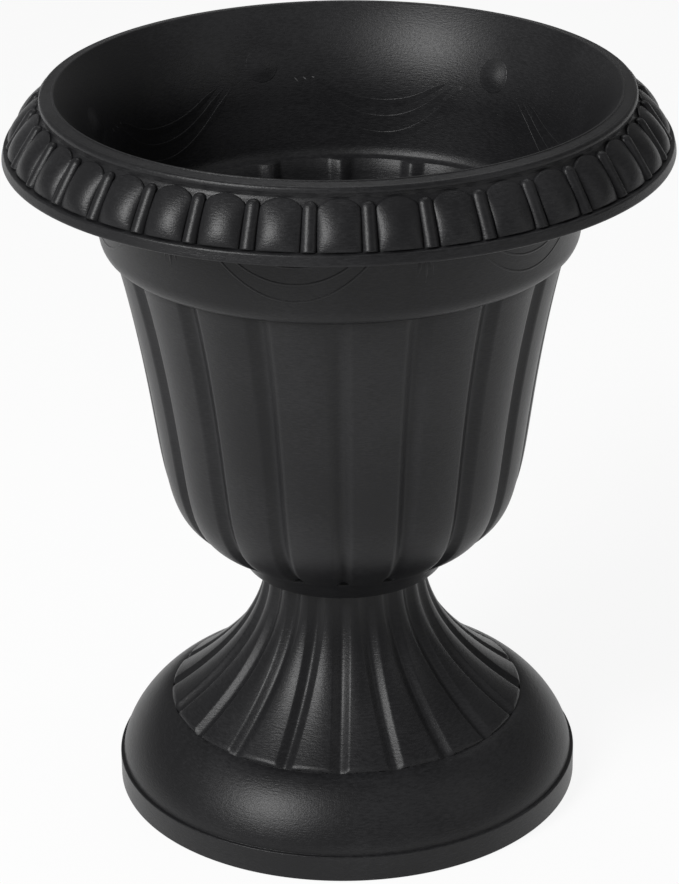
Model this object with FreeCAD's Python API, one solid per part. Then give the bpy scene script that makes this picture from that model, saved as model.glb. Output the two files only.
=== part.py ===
import FreeCAD, Part
import math
import os
from FreeCAD import Vector

# Urn planter in three pieces: a pedestal, a bowl that stands on it and a drain plug.
# Millimetres, +Z up, origin at the centre of the face that the planter stands on.
# Outlines are (radius, height) pairs in the XZ plane, turned about Z.

# ---------------------------------------------------------------- driving sizes

# Walls and clearances
wall = 2.5                      # moulded wall of bowl and pedestal
slip_clearance = 0.3            # radial, between the spigot and its socket
shoulder_gap = 0.3              # between the socket's end and the pedestal's shoulder
plug_clearance = 0.1            # radial, between the plug's shank and the drain hole
weld = 1.25                     # how far a wall runs into the one that it joins

# Pedestal: plinth, torus, fluted stem and spigot
plinth_radius = 96.8
plinth_height = 11.2
plinth_edge_radius = 1.6
torus_setback = 3.4             # from the plinth's edge to the foot of the torus
torus_height = 25.4
torus_swell = 0.8               # how far the torus leans out past its foot
torus_swell_height = 3.0
torus_foot_bulge = 0.15
torus_power = 1.45              # 1 is a straight flank, 2 a quarter ellipse
stem_foot_radius = 73.9
stem_margin = 0.4               # flat left on the torus around the stem's foot
stem_step = 1.6                 # height of the step below the fluted stem
stem_height = 61.0
neck_radius = 33.4
stem_flare = 2.12               # power of the stem's flare
stem_flutes = 20
stem_flute_turn = -2.5          # angle of one flute's centre from the front, degrees
stem_flute_width = 8.0
stem_flute_depth = 1.8
stem_flute_share = 0.86         # most of the pitch that a flute takes at the neck
stem_crown = 0.25
stem_bore_radius = 69.0         # opening of the foot's top below the stem
spigot_radius = 30.6
spigot_height = 7.6

# Bowl: collar, gadrooned body, cove and rim
floor_thickness = 3.0
socket_wall = 2.2
collar_foot_radius = 41.2
collar_top_radius = 47.6
collar_height = 7.8
lobe_overhang = 2.4             # how far the panels' ends stand out over the collar
lobe_height = 13.0              # how fast the body rounds out above the collar
lobe_power = 1.2
body_height = 134.0
body_waist_radius = 71.0
body_taper = 0.1
body_flare_power = 3.0
body_top_radius = 91.6
body_panels = 18
body_flute_turn = -0.6          # angle of one flute's centre from the front, degrees
body_flute_angle = 6.4          # width of a flute, degrees
body_flute_depth = 2.0
panel_crown = 0.7               # how far a panel's middle stands out past its edges
junction_step = 2.2             # the cove's overhang past the panels
junction_bulge = 0.6            # roundness of the cove's foot
ledge_thickness = 1.8           # floor of the cove's overhang
cove_height = 22.5
cove_round_height = 7.0
cove_round_radius = 96.3
cove_radius = 97.8
mouth_flare_height = 41.2       # from the cove's top to the crest
mouth_flare_power = 2.1
crest_radius = 111.4            # inner edge of the rim
crest_flat = 1.2
roll_width = 6.0
roll_drop = 2.8
roll_bulge = 1.0
groove_setback = 0.3            # the eggs' top end lies so far inside the roll
groove_drop = 2.2               # from the roll down to the eggs' top end
groove_depth = 0.6
rim_radius = 133.0
rim_drop = 25.6                 # from the rim's crest to the bottom of its lip
lip_height = 4.2
lip_lean = 1.0
lip_thickness = 2.4
ledge_width = 4.0
band_swell = 0.8                # how far the band under the eggs bulges
ornament_sink = 0.5             # how far the eggs and darts run into the ledge
egg_count = 36
egg_turn = -0.1                 # angle of one egg's centre from the front, degrees
egg_width = 16.0
egg_narrowing = 0.9             # width at the egg's shoulder, as a share of its foot
egg_relief = 3.8                # from the band's chord to the fullest place
egg_belly_share = 0.42          # fullest place of an egg, up the band
egg_length_share = 0.63
egg_side_share = 0.94           # the flanks are cut at this share of the ball's width
egg_arch_share = 0.24           # part of its height that an egg's arched end takes
dart_width = 5.4
dart_relief = 2.4
dart_length_share = 0.96
boss_count = 6
boss_turn = 19.0                # angle of one boss from the front, degrees
boss_radius = 7.3
boss_relief = 1.3
boss_sink = 1.0                 # how deep a boss's ball lies in the wall
boss_z_drop = 22.0              # from the crest down to the bosses' middles

# Drain hole and plug
drain_radius = 7.0
plug_head_radius = 11.0
plug_head_height = 2.2
plug_tip_length = 2.0           # how far the shank reaches below the floor
plug_tip_taper = 1.0
plug_grip_radius = 4.0
plug_grip_height = 5.0
plug_grip_round = 1.5

# ---------------------------------------------------------------- heights that follow

stem_foot_z = plinth_height + torus_height + stem_step
shoulder_z = stem_foot_z + stem_height
spigot_top_z = shoulder_z + spigot_height
collar_foot_z = shoulder_z + shoulder_gap
body_foot_z = collar_foot_z + collar_height
floor_z = spigot_top_z
floor_top_z = floor_z + floor_thickness
junction_z = body_foot_z + body_height
cove_top_z = junction_z + cove_height
crest_z = cove_top_z + mouth_flare_height
lip_foot_z = crest_z - rim_drop
lip_top_z = lip_foot_z + lip_height

# ---------------------------------------------------------------- outline tools


def at(radius, z):
    return Vector(radius, 0, z)


def line(start, end):
    return Part.LineSegment(at(*start), at(*end)).toShape()


def arc(start, through, end):
    return Part.Arc(at(*start), at(*through), at(*end)).toShape()


def bulged(start, end, bulge):
    """An arc whose middle stands so far out to the right of the way it runs."""
    run = end[0] - start[0]
    rise = end[1] - start[1]
    length = math.hypot(run, rise)
    middle = ((start[0] + end[0]) / 2 + bulge * rise / length,
              (start[1] + end[1]) / 2 - bulge * run / length)
    return arc(start, middle, end)


def quarter_round(start, end):
    """A quarter circle that stands out to the right of the way it runs."""
    chord = math.hypot(end[0] - start[0], end[1] - start[1])
    return bulged(start, end, chord / 2 * math.tan(math.pi / 8))


def smooth(points):
    curve = Part.BSplineCurve()
    curve.interpolate([at(*point) for point in points])
    return curve.toShape()


def offset_inward(points, distance):
    """Move each point of a rising outline towards the axis, square to the outline."""
    moved = []
    for index, (radius, z) in enumerate(points):
        before = points[max(index - 1, 0)]
        after = points[min(index + 1, len(points) - 1)]
        run = after[0] - before[0]
        rise = after[1] - before[1]
        length = math.hypot(run, rise)
        moved.append((radius - distance * rise / length, z + distance * run / length))
    return moved


def turned(edges):
    face = Part.Face(Part.Wire(edges))
    return face.revolve(Vector(0, 0, 0), Vector(0, 0, 1), 360)


def tube(outer, inner, foot_z, top_z):
    return turned([
        line((inner, foot_z), (outer, foot_z)),
        line((outer, foot_z), (outer, top_z)),
        line((outer, top_z), (inner, top_z)),
        line((inner, top_z), (inner, foot_z)),
    ])


# ---------------------------------------------------------------- fluted sections


def on_circle(radius, degrees, z):
    """A point seen from the front (-Y) at so many degrees to the right."""
    angle = math.radians(degrees)
    return Vector(radius * math.sin(angle), -radius * math.cos(angle), z)


def fluted_ring(radius, z, count, turn, flute_angle, depth, crown):
    """A closed wire of crowned panels with a round flute between each two."""
    pitch = 360.0 / count
    half = flute_angle / 2
    edges = []
    for index in range(count):
        centre = turn + index * pitch
        left = on_circle(radius - crown, centre - half, z)
        bottom = on_circle(radius - crown - depth, centre, z)
        right = on_circle(radius - crown, centre + half, z)
        middle = on_circle(radius, centre + pitch / 2, z)
        onward = on_circle(radius - crown, centre + pitch - half, z)
        edges.append(Part.Arc(left, bottom, right).toShape())
        edges.append(Part.Arc(right, middle, onward).toShape())
    return Part.Wire(edges)


# ---------------------------------------------------------------- pedestal


def stem_radius(z):
    share = (shoulder_z - z) / stem_height
    return neck_radius + (stem_foot_radius - neck_radius) * max(share, 0.0) ** stem_flare


def stem_stations():
    """The stem's profile, begun a little below its foot so that the flutes run out."""
    shares = [-0.04, 0.0, 0.07, 0.16, 0.28, 0.42, 0.58, 0.78, 1.0]
    heights = [stem_foot_z + share * stem_height for share in shares]
    return [(stem_radius(z), z) for z in heights]


def stem_flute_angle(radius):
    widest = stem_flute_share * 360.0 / stem_flutes
    return min(math.degrees(stem_flute_width / radius), widest)


def stem_ring(radius, z):
    return fluted_ring(radius, z, stem_flutes, stem_flute_turn, stem_flute_angle(radius),
                       stem_flute_depth, stem_crown)


def stem_solid(stations):
    return Part.makeLoft([stem_ring(radius, z) for radius, z in stations], True, False)


def stem_shell():
    """The fluted trumpet, trimmed to an upright edge where it stands on the torus."""
    outer = stem_stations()
    inner = offset_inward(outer, wall)
    inner.append((neck_radius - wall, shoulder_z + wall))
    trim = Part.makeCylinder(stem_foot_radius, stem_height + 2 * wall,
                             Vector(0, 0, stem_foot_z - 2 * wall))
    return stem_solid(outer).common(trim).cut(stem_solid(inner))


def torus_points():
    """Outer face of the torus, from its widest place up to the stem."""
    widest_radius = plinth_radius - torus_setback + torus_swell
    widest_z = plinth_height + torus_swell_height
    top_radius = stem_foot_radius + stem_margin
    rise = plinth_height + torus_height - widest_z
    steps = 8
    points = []
    for step in range(steps + 1):
        angle = math.pi / 2 * step / steps
        across = math.cos(angle) ** (2 / torus_power)
        up = math.sin(angle) ** (2 / torus_power)
        points.append((top_radius + (widest_radius - top_radius) * across,
                       widest_z + rise * up))
    return points


def foot_shell():
    """Plinth and torus, a wall of even thickness that is open below."""
    torus = torus_points()
    top_z = torus[-1][1]
    lining = offset_inward(torus, wall)
    lining[-1] = (stem_bore_radius, top_z - wall)
    torus_foot = (plinth_radius - torus_setback, plinth_height)
    lining_foot = (torus_foot[0] - wall, plinth_height - wall)
    lining_side = (plinth_radius - wall, plinth_height - wall)
    edge_foot = (plinth_radius, plinth_height - plinth_edge_radius)
    edge_top = (plinth_radius - plinth_edge_radius, plinth_height)
    return turned([
        line((plinth_radius - wall, 0), (plinth_radius, 0)),
        line((plinth_radius, 0), edge_foot),
        quarter_round(edge_foot, edge_top),
        line(edge_top, torus_foot),
        bulged(torus_foot, torus[0], torus_foot_bulge),
        smooth(torus),
        line(torus[-1], (stem_bore_radius, top_z)),
        line((stem_bore_radius, top_z), lining[-1]),
        smooth(lining[::-1]),
        line(lining[0], lining_foot),
        line(lining_foot, lining_side),
        line(lining_side, (plinth_radius - wall, 0)),
    ])


def spigot():
    """The shoulder inside the stem's top and the plain ring that enters the socket."""
    bore = spigot_radius - wall
    flute_floor = neck_radius - stem_crown - stem_flute_depth
    shoulder_radius = (flute_floor + neck_radius - wall) / 2
    shoulder = tube(shoulder_radius, bore, shoulder_z - wall, shoulder_z)
    return shoulder.fuse(tube(spigot_radius, bore, shoulder_z - wall, spigot_top_z))


def make_pedestal():
    return foot_shell().multiFuse([stem_shell(), spigot()])


# ---------------------------------------------------------------- bowl


def body_radius(above_foot):
    foot_radius = collar_top_radius + lobe_overhang
    flare = body_top_radius - body_waist_radius - body_taper * body_height
    gather = body_waist_radius - foot_radius
    return (body_waist_radius + body_taper * above_foot
            + flare * (above_foot / body_height) ** body_flare_power
            - gather * math.exp(-(above_foot / lobe_height) ** lobe_power))


def body_stations():
    shares = [0.0, 0.015, 0.04, 0.075, 0.12, 0.18, 0.26, 0.39, 0.57, 0.75, 0.9, 1.0]
    heights = [share * body_height for share in shares]
    return [(body_radius(height), body_foot_z + height) for height in heights]


def body_solid(stations):
    rings = []
    for radius, z in stations:
        rings.append(fluted_ring(radius, z, body_panels, body_flute_turn,
                                 body_flute_angle, body_flute_depth, panel_crown))
    return Part.makeLoft(rings, True, False)


def body_lining():
    """The hollow of the body, which runs up through the cove's ledge."""
    inner = offset_inward(body_stations(), wall)
    inner[-1] = (body_top_radius - wall, junction_z + wall)
    return body_solid(inner)


def lining_points():
    """Inner face of the cove and of the flared mouth above it, from below."""
    points = [(cove_round_radius - wall, junction_z + cove_round_height)]
    reach = crest_radius - cove_radius + wall
    steps = 6
    for step in range(steps + 1):
        share = step / steps
        points.append((cove_radius - wall + reach * share ** mouth_flare_power,
                       cove_top_z + mouth_flare_height * share))
    return points


def lip_top():
    return (rim_radius - lip_lean, lip_top_z)


def band_foot():
    return (rim_radius - lip_lean - ledge_width, lip_top_z)


def roll_side():
    return (crest_radius + roll_width, crest_z - roll_drop)


def band_top():
    return (crest_radius + roll_width - groove_setback, crest_z - roll_drop - groove_drop)


def skirt_behind(point):
    """The skirt's inner face, a wall's thickness behind a point of the band."""
    return (point[0] - wall, point[1] - wall / 2)


def rim_and_cove():
    """Cove wall and rolled rim: one wall that turns over and hangs free outside."""
    lining = lining_points()
    face = offset_inward(lining, -wall)[:-1]
    junction = (body_top_radius + junction_step, junction_z)
    ledge_top_z = junction_z + ledge_thickness
    ledge_radius = body_top_radius - 3 * wall
    round_foot = (junction[0] - ledge_thickness, ledge_top_z)
    crest = lining[-1]
    roll_top = (crest_radius + crest_flat, crest_z)
    roll_lining = (crest_radius + crest_flat, crest_z - wall)
    skirt_top = skirt_behind(roll_side())
    lip_inner_radius = rim_radius - lip_thickness
    lip_lining_top = (lip_inner_radius, lip_top_z - wall)
    return turned([
        bulged(junction, face[0], junction_bulge),
        smooth(face),
        arc(face[-1], roll_lining, skirt_top),
        line(skirt_top, skirt_behind(band_top())),
        line(skirt_behind(band_top()), skirt_behind(band_foot())),
        line(skirt_behind(band_foot()), lip_lining_top),
        line(lip_lining_top, (lip_inner_radius, lip_foot_z)),
        line((lip_inner_radius, lip_foot_z), (rim_radius, lip_foot_z)),
        line((rim_radius, lip_foot_z), lip_top()),
        line(lip_top(), band_foot()),
        bulged(band_foot(), band_top(), band_swell),
        bulged(band_top(), roll_side(), -groove_depth),
        bulged(roll_side(), roll_top, roll_bulge),
        line(roll_top, crest),
        smooth(lining[::-1]),
        bulged(lining[0], round_foot, -junction_bulge),
        line(round_foot, (ledge_radius, ledge_top_z)),
        line((ledge_radius, ledge_top_z), (ledge_radius, junction_z)),
        line((ledge_radius, junction_z), junction),
    ])


def band_slope():
    """Length and tilt of the band that carries the eggs and darts."""
    run = band_foot()[0] - band_top()[0]
    rise = band_top()[1] - band_foot()[1]
    return math.hypot(run, rise), math.degrees(math.atan2(run, rise))


def on_band(solid):
    """Tilt a solid that stands upright at the origin onto the band, foot to foot."""
    length, tilt = band_slope()
    placed = solid.copy()
    placed.rotate(Vector(0, 0, 0), Vector(0, 1, 0), -tilt)
    placed.translate(at(*band_foot()))
    return placed


def above_ledge(solid):
    box = Part.makeBox(2 * rim_radius, 2 * rim_radius, rim_drop,
                       Vector(0, -rim_radius, lip_top_z - ornament_sink))
    return solid.common(box)


def egg_arch():
    """The outline that trims an egg: straight flanks and an arched upper end."""
    length, tilt = band_slope()
    foot_half = egg_width / 2
    shoulder_half = foot_half * egg_narrowing
    shoulder = length * (1 - egg_arch_share)
    corners = [(-foot_half, -length / 2), (foot_half, -length / 2), (shoulder_half, shoulder),
               (-shoulder_half, shoulder)]
    foot_left, foot_right, right, left = [Vector(0, across, up) for across, up in corners]
    outline = Part.Wire([
        Part.LineSegment(foot_left, foot_right).toShape(),
        Part.LineSegment(foot_right, right).toShape(),
        Part.Arc(right, Vector(0, 0, length), left).toShape(),
        Part.LineSegment(left, foot_left).toShape(),
    ])
    reach = 2 * egg_relief
    prism = Part.Face(outline).extrude(Vector(2 * reach, 0, 0))
    prism.translate(Vector(-reach, 0, 0))
    return prism


def egg():
    length, tilt = band_slope()
    stretch = FreeCAD.Matrix()
    stretch.scale(egg_relief, egg_width / 2 / egg_side_share, egg_length_share * length)
    ball = Part.makeSphere(1.0).transformGeometry(stretch)
    ball.translate(Vector(0, 0, egg_belly_share * length))
    return above_ledge(on_band(ball.common(egg_arch())))


def dart():
    length, tilt = band_slope()
    radius = dart_width / 2
    shaft_length = dart_length_share * length - radius
    shaft = Part.makeCylinder(radius, 2 * shaft_length, Vector(0, 0, -shaft_length))
    rod = shaft.fuse(Part.makeSphere(radius, Vector(0, 0, shaft_length)))
    rod.translate(Vector(dart_relief + band_swell - radius, 0, 0))
    return above_ledge(on_band(rod))


def boss():
    """A low round dome on the inside of the flared mouth."""
    rise = crest_z - boss_z_drop - cove_top_z
    share = rise / mouth_flare_height
    reach = crest_radius - cove_radius + wall
    radius = cove_radius - wall + reach * share ** mouth_flare_power
    lean = math.degrees(math.atan(mouth_flare_power * reach / mouth_flare_height
                                  * share ** (mouth_flare_power - 1)))
    stretch = FreeCAD.Matrix()
    stretch.scale(boss_relief + boss_sink, boss_radius, boss_radius)
    ball = Part.makeSphere(1.0).transformGeometry(stretch)
    ball.translate(Vector(boss_sink, 0, 0))
    ball.rotate(Vector(0, 0, 0), Vector(0, 1, 0), lean)
    ball.translate(at(radius, cove_top_z + rise))
    return ball


def around(solid, count, turn):
    """Copies of a solid made at +X, the first turned to so many degrees from the front."""
    copies = []
    for index in range(count):
        copy = solid.copy()
        copy.rotate(Vector(0, 0, 0), Vector(0, 0, 1), turn - 90 + index * 360.0 / count)
        copies.append(copy)
    return copies


def collar():
    """The plain cone below the panels, run up into the body's floor."""
    foot = (collar_foot_radius, collar_foot_z)
    top = (collar_top_radius, body_foot_z)
    weld_top = (collar_top_radius, body_foot_z + weld)
    inner_foot = (collar_foot_radius - wall, collar_foot_z)
    inner_top = (collar_top_radius - wall, body_foot_z)
    inner_weld_top = (collar_top_radius - wall, body_foot_z + weld)
    return turned([
        line(inner_foot, foot),
        line(foot, top),
        line(top, weld_top),
        line(weld_top, inner_weld_top),
        line(inner_weld_top, inner_top),
        line(inner_top, inner_foot),
    ])


def make_bowl():
    socket_radius = spigot_radius + slip_clearance
    floor = tube(collar_top_radius - weld, drain_radius, floor_z, floor_top_z)
    socket = tube(socket_radius + socket_wall, socket_radius, collar_foot_z, floor_z + weld)
    drain = Part.makeCylinder(drain_radius, body_height, Vector(0, 0, collar_foot_z))
    ornament = around(egg(), egg_count, egg_turn)
    ornament += around(dart(), egg_count, egg_turn + 180.0 / egg_count)
    ornament += around(boss(), boss_count, boss_turn)
    outside = rim_and_cove().multiFuse(ornament + [body_solid(body_stations())])
    shell = outside.cut(body_lining())
    return shell.multiFuse([collar(), floor, socket]).cut(drain)


# ---------------------------------------------------------------- drain plug


def make_drain_plug():
    shank_radius = drain_radius - plug_clearance
    tip_z = floor_z - plug_tip_length
    head_top_z = floor_top_z + plug_head_height
    edge = plug_head_height / 2
    grip_z = head_top_z + plug_grip_height
    tip_edge = (shank_radius - plug_tip_taper, tip_z)
    tip_top = (shank_radius, tip_z + plug_tip_taper)
    head_foot = (plug_head_radius - edge, floor_top_z)
    head_side = (plug_head_radius, floor_top_z + edge)
    head_top = (plug_head_radius - edge, head_top_z)
    grip_side = (plug_grip_radius, grip_z - plug_grip_round)
    grip_top = (plug_grip_radius - plug_grip_round, grip_z)
    return turned([
        line((0, tip_z), tip_edge),
        line(tip_edge, tip_top),
        line(tip_top, (shank_radius, floor_top_z)),
        line((shank_radius, floor_top_z), head_foot),
        quarter_round(head_foot, head_side),
        quarter_round(head_side, head_top),
        line(head_top, (plug_grip_radius, head_top_z)),
        line((plug_grip_radius, head_top_z), grip_side),
        quarter_round(grip_side, grip_top),
        line(grip_top, (0, grip_z)),
        line((0, grip_z), (0, tip_z)),
    ])


# ---------------------------------------------------------------- output

makers = {
    "pedestal": make_pedestal,
    "bowl": make_bowl,
    "drain_plug": make_drain_plug,
}

os.makedirs("parts", exist_ok=True)
for node, make in makers.items():
    shape = make()
    shape.exportStep("parts/" + node + ".step")
    box = shape.BoundBox
    print(node, "valid", shape.isValid(), "solids", len(shape.Solids), "faces", len(shape.Faces),
          "volume", round(shape.Volume), "z", round(box.ZMin, 2), round(box.ZMax, 2))
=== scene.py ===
"""Urn planter: its moulded pieces, its finishes and the studio around it, built on the CAD frame.

Metres, +Z up, the front of the urn towards -Y. Angles go from the front to the right.
"""

import math

import bmesh
import bpy
from mathutils import Matrix, Vector


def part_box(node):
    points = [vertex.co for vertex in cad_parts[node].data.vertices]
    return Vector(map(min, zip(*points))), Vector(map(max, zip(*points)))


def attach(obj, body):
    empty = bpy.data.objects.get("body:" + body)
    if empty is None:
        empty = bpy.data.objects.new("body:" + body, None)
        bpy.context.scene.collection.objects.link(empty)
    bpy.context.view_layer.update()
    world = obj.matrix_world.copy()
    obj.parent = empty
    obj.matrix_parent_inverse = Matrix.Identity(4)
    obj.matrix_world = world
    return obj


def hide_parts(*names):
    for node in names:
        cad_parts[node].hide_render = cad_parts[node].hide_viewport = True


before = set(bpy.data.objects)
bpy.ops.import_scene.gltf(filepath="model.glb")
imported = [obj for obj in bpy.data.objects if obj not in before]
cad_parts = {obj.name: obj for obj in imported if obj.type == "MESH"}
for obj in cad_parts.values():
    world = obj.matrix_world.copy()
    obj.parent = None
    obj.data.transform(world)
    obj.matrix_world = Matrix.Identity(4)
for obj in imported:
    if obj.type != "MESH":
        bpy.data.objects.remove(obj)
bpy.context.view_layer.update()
bowl_low, bowl_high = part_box("bowl")
pedestal_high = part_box("pedestal")[1]
plug_low, plug_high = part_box("drain_plug")

bl_info = {
    "name": "Urn Planter",
    "version": (1, 0, 0),
    "blender": (4, 5, 0),
    "location": "3D View > Sidebar > Urn Planter",
    "description": "Builds a moulded urn planter with an egg-and-dart rim on its CAD frame",
    "category": "Add Mesh",
}

mm = 0.001
PLASTIC_NAME = "moulded_black_plastic"
BODY_BASE = "base"
BODY_URN = "urn"
BODY_PLUG = "plug"
FLUTE_CELLS = 12  # cells across a flute
PANEL_CELLS = 20  # cells across a panel
FINE_EDGE = 0.3 * mm  # rounding of small hidden edges
SOFT_EDGE = 0.5 * mm  # rounding of moulded edges that hands touch
CREASE = 0.03 * mm  # distance between two rings that make a crisp crease

# ---------------------------------------------------------------- sizes and colours


def length(label, description, value):
    return bpy.props.FloatProperty(name=label, description=description, default=value,
                                   unit="LENGTH", precision=4)


def turn(label, description, degrees):
    return bpy.props.FloatProperty(name=label, description=description,
                                   default=math.radians(degrees), subtype="ANGLE")


def number(label, description, value):
    return bpy.props.FloatProperty(name=label, description=description, default=value)


def count(label, description, value):
    return bpy.props.IntProperty(name=label, description=description, default=value, min=3)


def colour(label, description, value):
    return bpy.props.FloatVectorProperty(name=label, description=description, default=value,
                                         subtype="COLOR", size=3, min=0, max=1)


class PedestalSizes(bpy.types.PropertyGroup):
    wall: length("Wall", "Moulded wall of bowl and pedestal", 2.5 * mm)
    plinth_height: length("Plinth height", "Height of the upright plinth", 11.2 * mm)
    plinth_edge: length("Plinth edge", "Rounding of the plinth's top edge", 1.6 * mm)
    torus_setback: length("Torus setback", "From the plinth's edge to the torus", 1.6 * mm)
    torus_height: length("Torus height", "Height of the torus above the plinth", 25.4 * mm)
    torus_foot: length("Torus foot", "Height of the torus's upright foot", 1.2 * mm)
    torus_power: number("Torus roundness", "1 is a straight flank, 2 a quarter ellipse", 1.45)
    stem_foot: length("Stem foot", "Radius of the stem's foot", 73.9 * mm)
    stem_margin: length("Stem margin", "Flat ring around the stem's foot", 0.4 * mm)
    stem_step: length("Stem step", "Height of the stem's upright edge", 1.6 * mm)
    stem_height: length("Stem height", "From the stem's foot to its shoulder", 61.0 * mm)
    neck: length("Neck", "Radius of the stem's top", 33.4 * mm)
    stem_flare: number("Stem flare", "Power of the stem's flare", 2.12)
    flutes: count("Flutes", "Flutes around the stem", 20)
    flute_turn: turn("Flute turn", "Angle of one flute's middle from the front", -2.5)
    flute_width: length("Flute width", "Width of a flute at the foot", 7.4 * mm)
    flute_share: number("Flute share", "Most of the pitch that a flute takes", 0.84)
    flute_depth: length("Flute depth", "Depth of a flute", 1.7 * mm)
    crown: length("Crown", "How far a panel's middle stands out", 0.25 * mm)
    ledge_edge: length("Ledge edge", "Rounding of the stem's upright edge", 0.75 * mm)
    spigot: length("Spigot", "Radius of the spigot inside the bowl's socket", 30.6 * mm)


class BowlSizes(bpy.types.PropertyGroup):
    collar_foot: length("Collar foot", "Radius of the collar's foot", 41.2 * mm)
    collar_top: length("Collar top", "Radius of the collar's top", 52.6 * mm)
    collar_hollow: length("Collar hollow", "How far the collar's flank bends in", 0.9 * mm)
    body_rise: length("Body rise", "From the collar's foot to the body's foot level", 7.8 * mm)
    lobe_rise: length("Lobe rise", "From the body's foot level to the panels' ends", 4.1 * mm)
    socket: length("Socket", "Radius of the socket over the spigot", 30.9 * mm)
    socket_wall: length("Socket wall", "Wall of the socket", 2.2 * mm)
    floor_thickness: length("Floor", "Thickness of the bowl's floor", 3.0 * mm)
    drain: length("Drain hole", "Radius of the drain hole", 7.0 * mm)
    lobe_foot: length("Lobe foot", "Radius that the panels' ends turn under to", 48.0 * mm)
    lobe_height: length("Lobe height", "How fast the panels round out", 13.0 * mm)
    lobe_power: number("Lobe roundness", "Power of the panels' rounding", 1.2)
    body_height: length("Body height", "Height of the panelled body", 134.0 * mm)
    waist: length("Waist", "Radius of the body above its rounding", 71.0 * mm)
    taper: number("Taper", "Widening of the body with its height", 0.1)
    flare_power: number("Flare power", "Power of the body's flare", 3.0)
    body_top: length("Body top", "Radius of the body under the cove", 91.6 * mm)
    panels: count("Panels", "Panels around the body", 18)
    flute_turn: turn("Flute turn", "Angle of one flute's middle from the front", -0.6)
    flute_angle: turn("Flute width", "Width of a flute", 6.4)
    flute_depth: length("Flute depth", "Depth of a flute", 2.5 * mm)
    crown: length("Crown", "How far a panel's middle stands out", 0.7 * mm)
    panel_edge: length("Panel edge", "Rounding of the panels' upper edge", 0.35 * mm)
    junction_step: length("Junction step", "Overhang of the cove past the panels", 2.2 * mm)
    ledge: length("Ledge", "Thickness of the cove's ledge inside", 1.8 * mm)
    cove_height: length("Cove height", "Height of the plain cove", 22.5 * mm)
    cove_round: length("Cove round", "Height of the cove's rounded foot", 7.0 * mm)
    cove_round_radius: length("Cove round radius", "Radius above the rounded foot", 96.3 * mm)
    cove: length("Cove", "Radius of the cove's top", 97.8 * mm)
    flare_height: length("Mouth flare", "From the cove's top to the crest", 41.2 * mm)
    mouth_power: number("Mouth power", "Power of the mouth's flare", 2.1)


class RimSizes(bpy.types.PropertyGroup):
    crest: length("Crest", "Radius of the rim's inner edge", 111.4 * mm)
    crest_flat: length("Crest flat", "From the inner edge to the roll", 4.0 * mm)
    crest_drop: length("Crest drop", "Fall of the flat towards the roll", 0.8 * mm)
    bead: length("Bead", "Width of the fine bead on the inner edge", 0.8 * mm)
    bead_height: length("Bead height", "Height of the fine bead", 0.35 * mm)
    roll_width: length("Roll width", "Width of the rim's roll", 6.0 * mm)
    roll_drop: length("Roll drop", "Drop of the rim's roll", 2.8 * mm)
    roll_bulge: length("Roll bulge", "Roundness of the rim's roll", 0.7 * mm)
    groove_setback: length("Groove setback", "How far the eggs' top lies inside the roll",
                           0.3 * mm)
    groove_drop: length("Groove drop", "From the roll down to the eggs' top", 2.2 * mm)
    groove_depth: length("Groove depth", "Depth of the hollow above the eggs", 0.1 * mm)
    rim_drop: length("Rim drop", "From the crest to the lip's bottom", 25.6 * mm)
    lip_height: length("Lip height", "Height of the plain lip", 4.2 * mm)
    lip_lean: length("Lip lean", "How far the lip leans in at its top", 1.0 * mm)
    lip_thickness: length("Lip thickness", "Thickness of the lip", 2.4 * mm)
    lip_ledge: length("Lip ledge", "Ledge that the eggs stand on", 4.0 * mm)
    band_swell: length("Band swell", "Bulge of the band behind the eggs", 0.8 * mm)
    eggs: count("Eggs", "Eggs around the rim", 36)
    egg_turn: turn("Egg turn", "Angle of one egg's middle from the front", -0.1)
    egg_width: length("Egg width", "Width of an egg", 16.3 * mm)
    egg_relief: length("Egg relief", "How far an egg stands out", 3.8 * mm)
    egg_belly: number("Egg belly", "Fullest place of an egg, as a share of its height", 0.27)
    egg_arch: number("Egg arch", "Share of an egg that its arched end takes", 0.22)
    egg_narrowing: number("Egg shoulders", "Width at an egg's shoulders against its foot", 0.97)
    dart_width: length("Dart width", "Width of a dart", 6.0 * mm)
    dart_narrowing: number("Dart shoulders", "Width at a dart's top against its foot", 0.85)
    dart_relief: length("Dart relief", "How far a dart stands out", 2.9 * mm)
    dart_height: number("Dart height", "Height of a dart, as a share of an egg's", 0.95)
    lobe_edge: length("Lobe edge", "Upright edge around eggs and darts", 0.35 * mm)


class SwagSizes(bpy.types.PropertyGroup):
    swags: count("Swags", "Swags around the cove", 6)
    swag_turn: turn("Swag turn", "Angle of one swag's middle from the front", -11.0)
    half_span: turn("Half span", "From a swag's middle to its end", 22.0)
    top: length("Top", "Height at which the swags are hung", 277.0 * mm)
    lowest: length("Lowest", "Lowest height of the longest fold", 251.3 * mm)
    fold_rise: length("Fold rise", "Rise from one fold to the next", 7.0 * mm)
    fold_width: length("Fold width", "Width of a fold's raised line", 1.1 * mm)
    fold_relief: length("Fold relief", "How far a fold stands out", 0.22 * mm)
    inner_width: length("Inner fold width", "Width of the faint folds inside", 4.2 * mm)
    inner_relief: length("Inner fold relief", "How far the inside's folds stand out", 0.05 * mm)
    tassel_top: length("Tassel top", "Height at which the tassels hang", 268.5 * mm)
    tassel_length: length("Tassel", "Length of a tassel's longest stroke", 11.5 * mm)
    boss: length("Boss", "Radius of the round bosses inside", 7.3 * mm)
    boss_height: length("Boss height", "Height of the bosses' middles", 283.0 * mm)
    boss_relief: length("Boss relief", "How far a boss stands out", 1.0 * mm)


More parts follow.
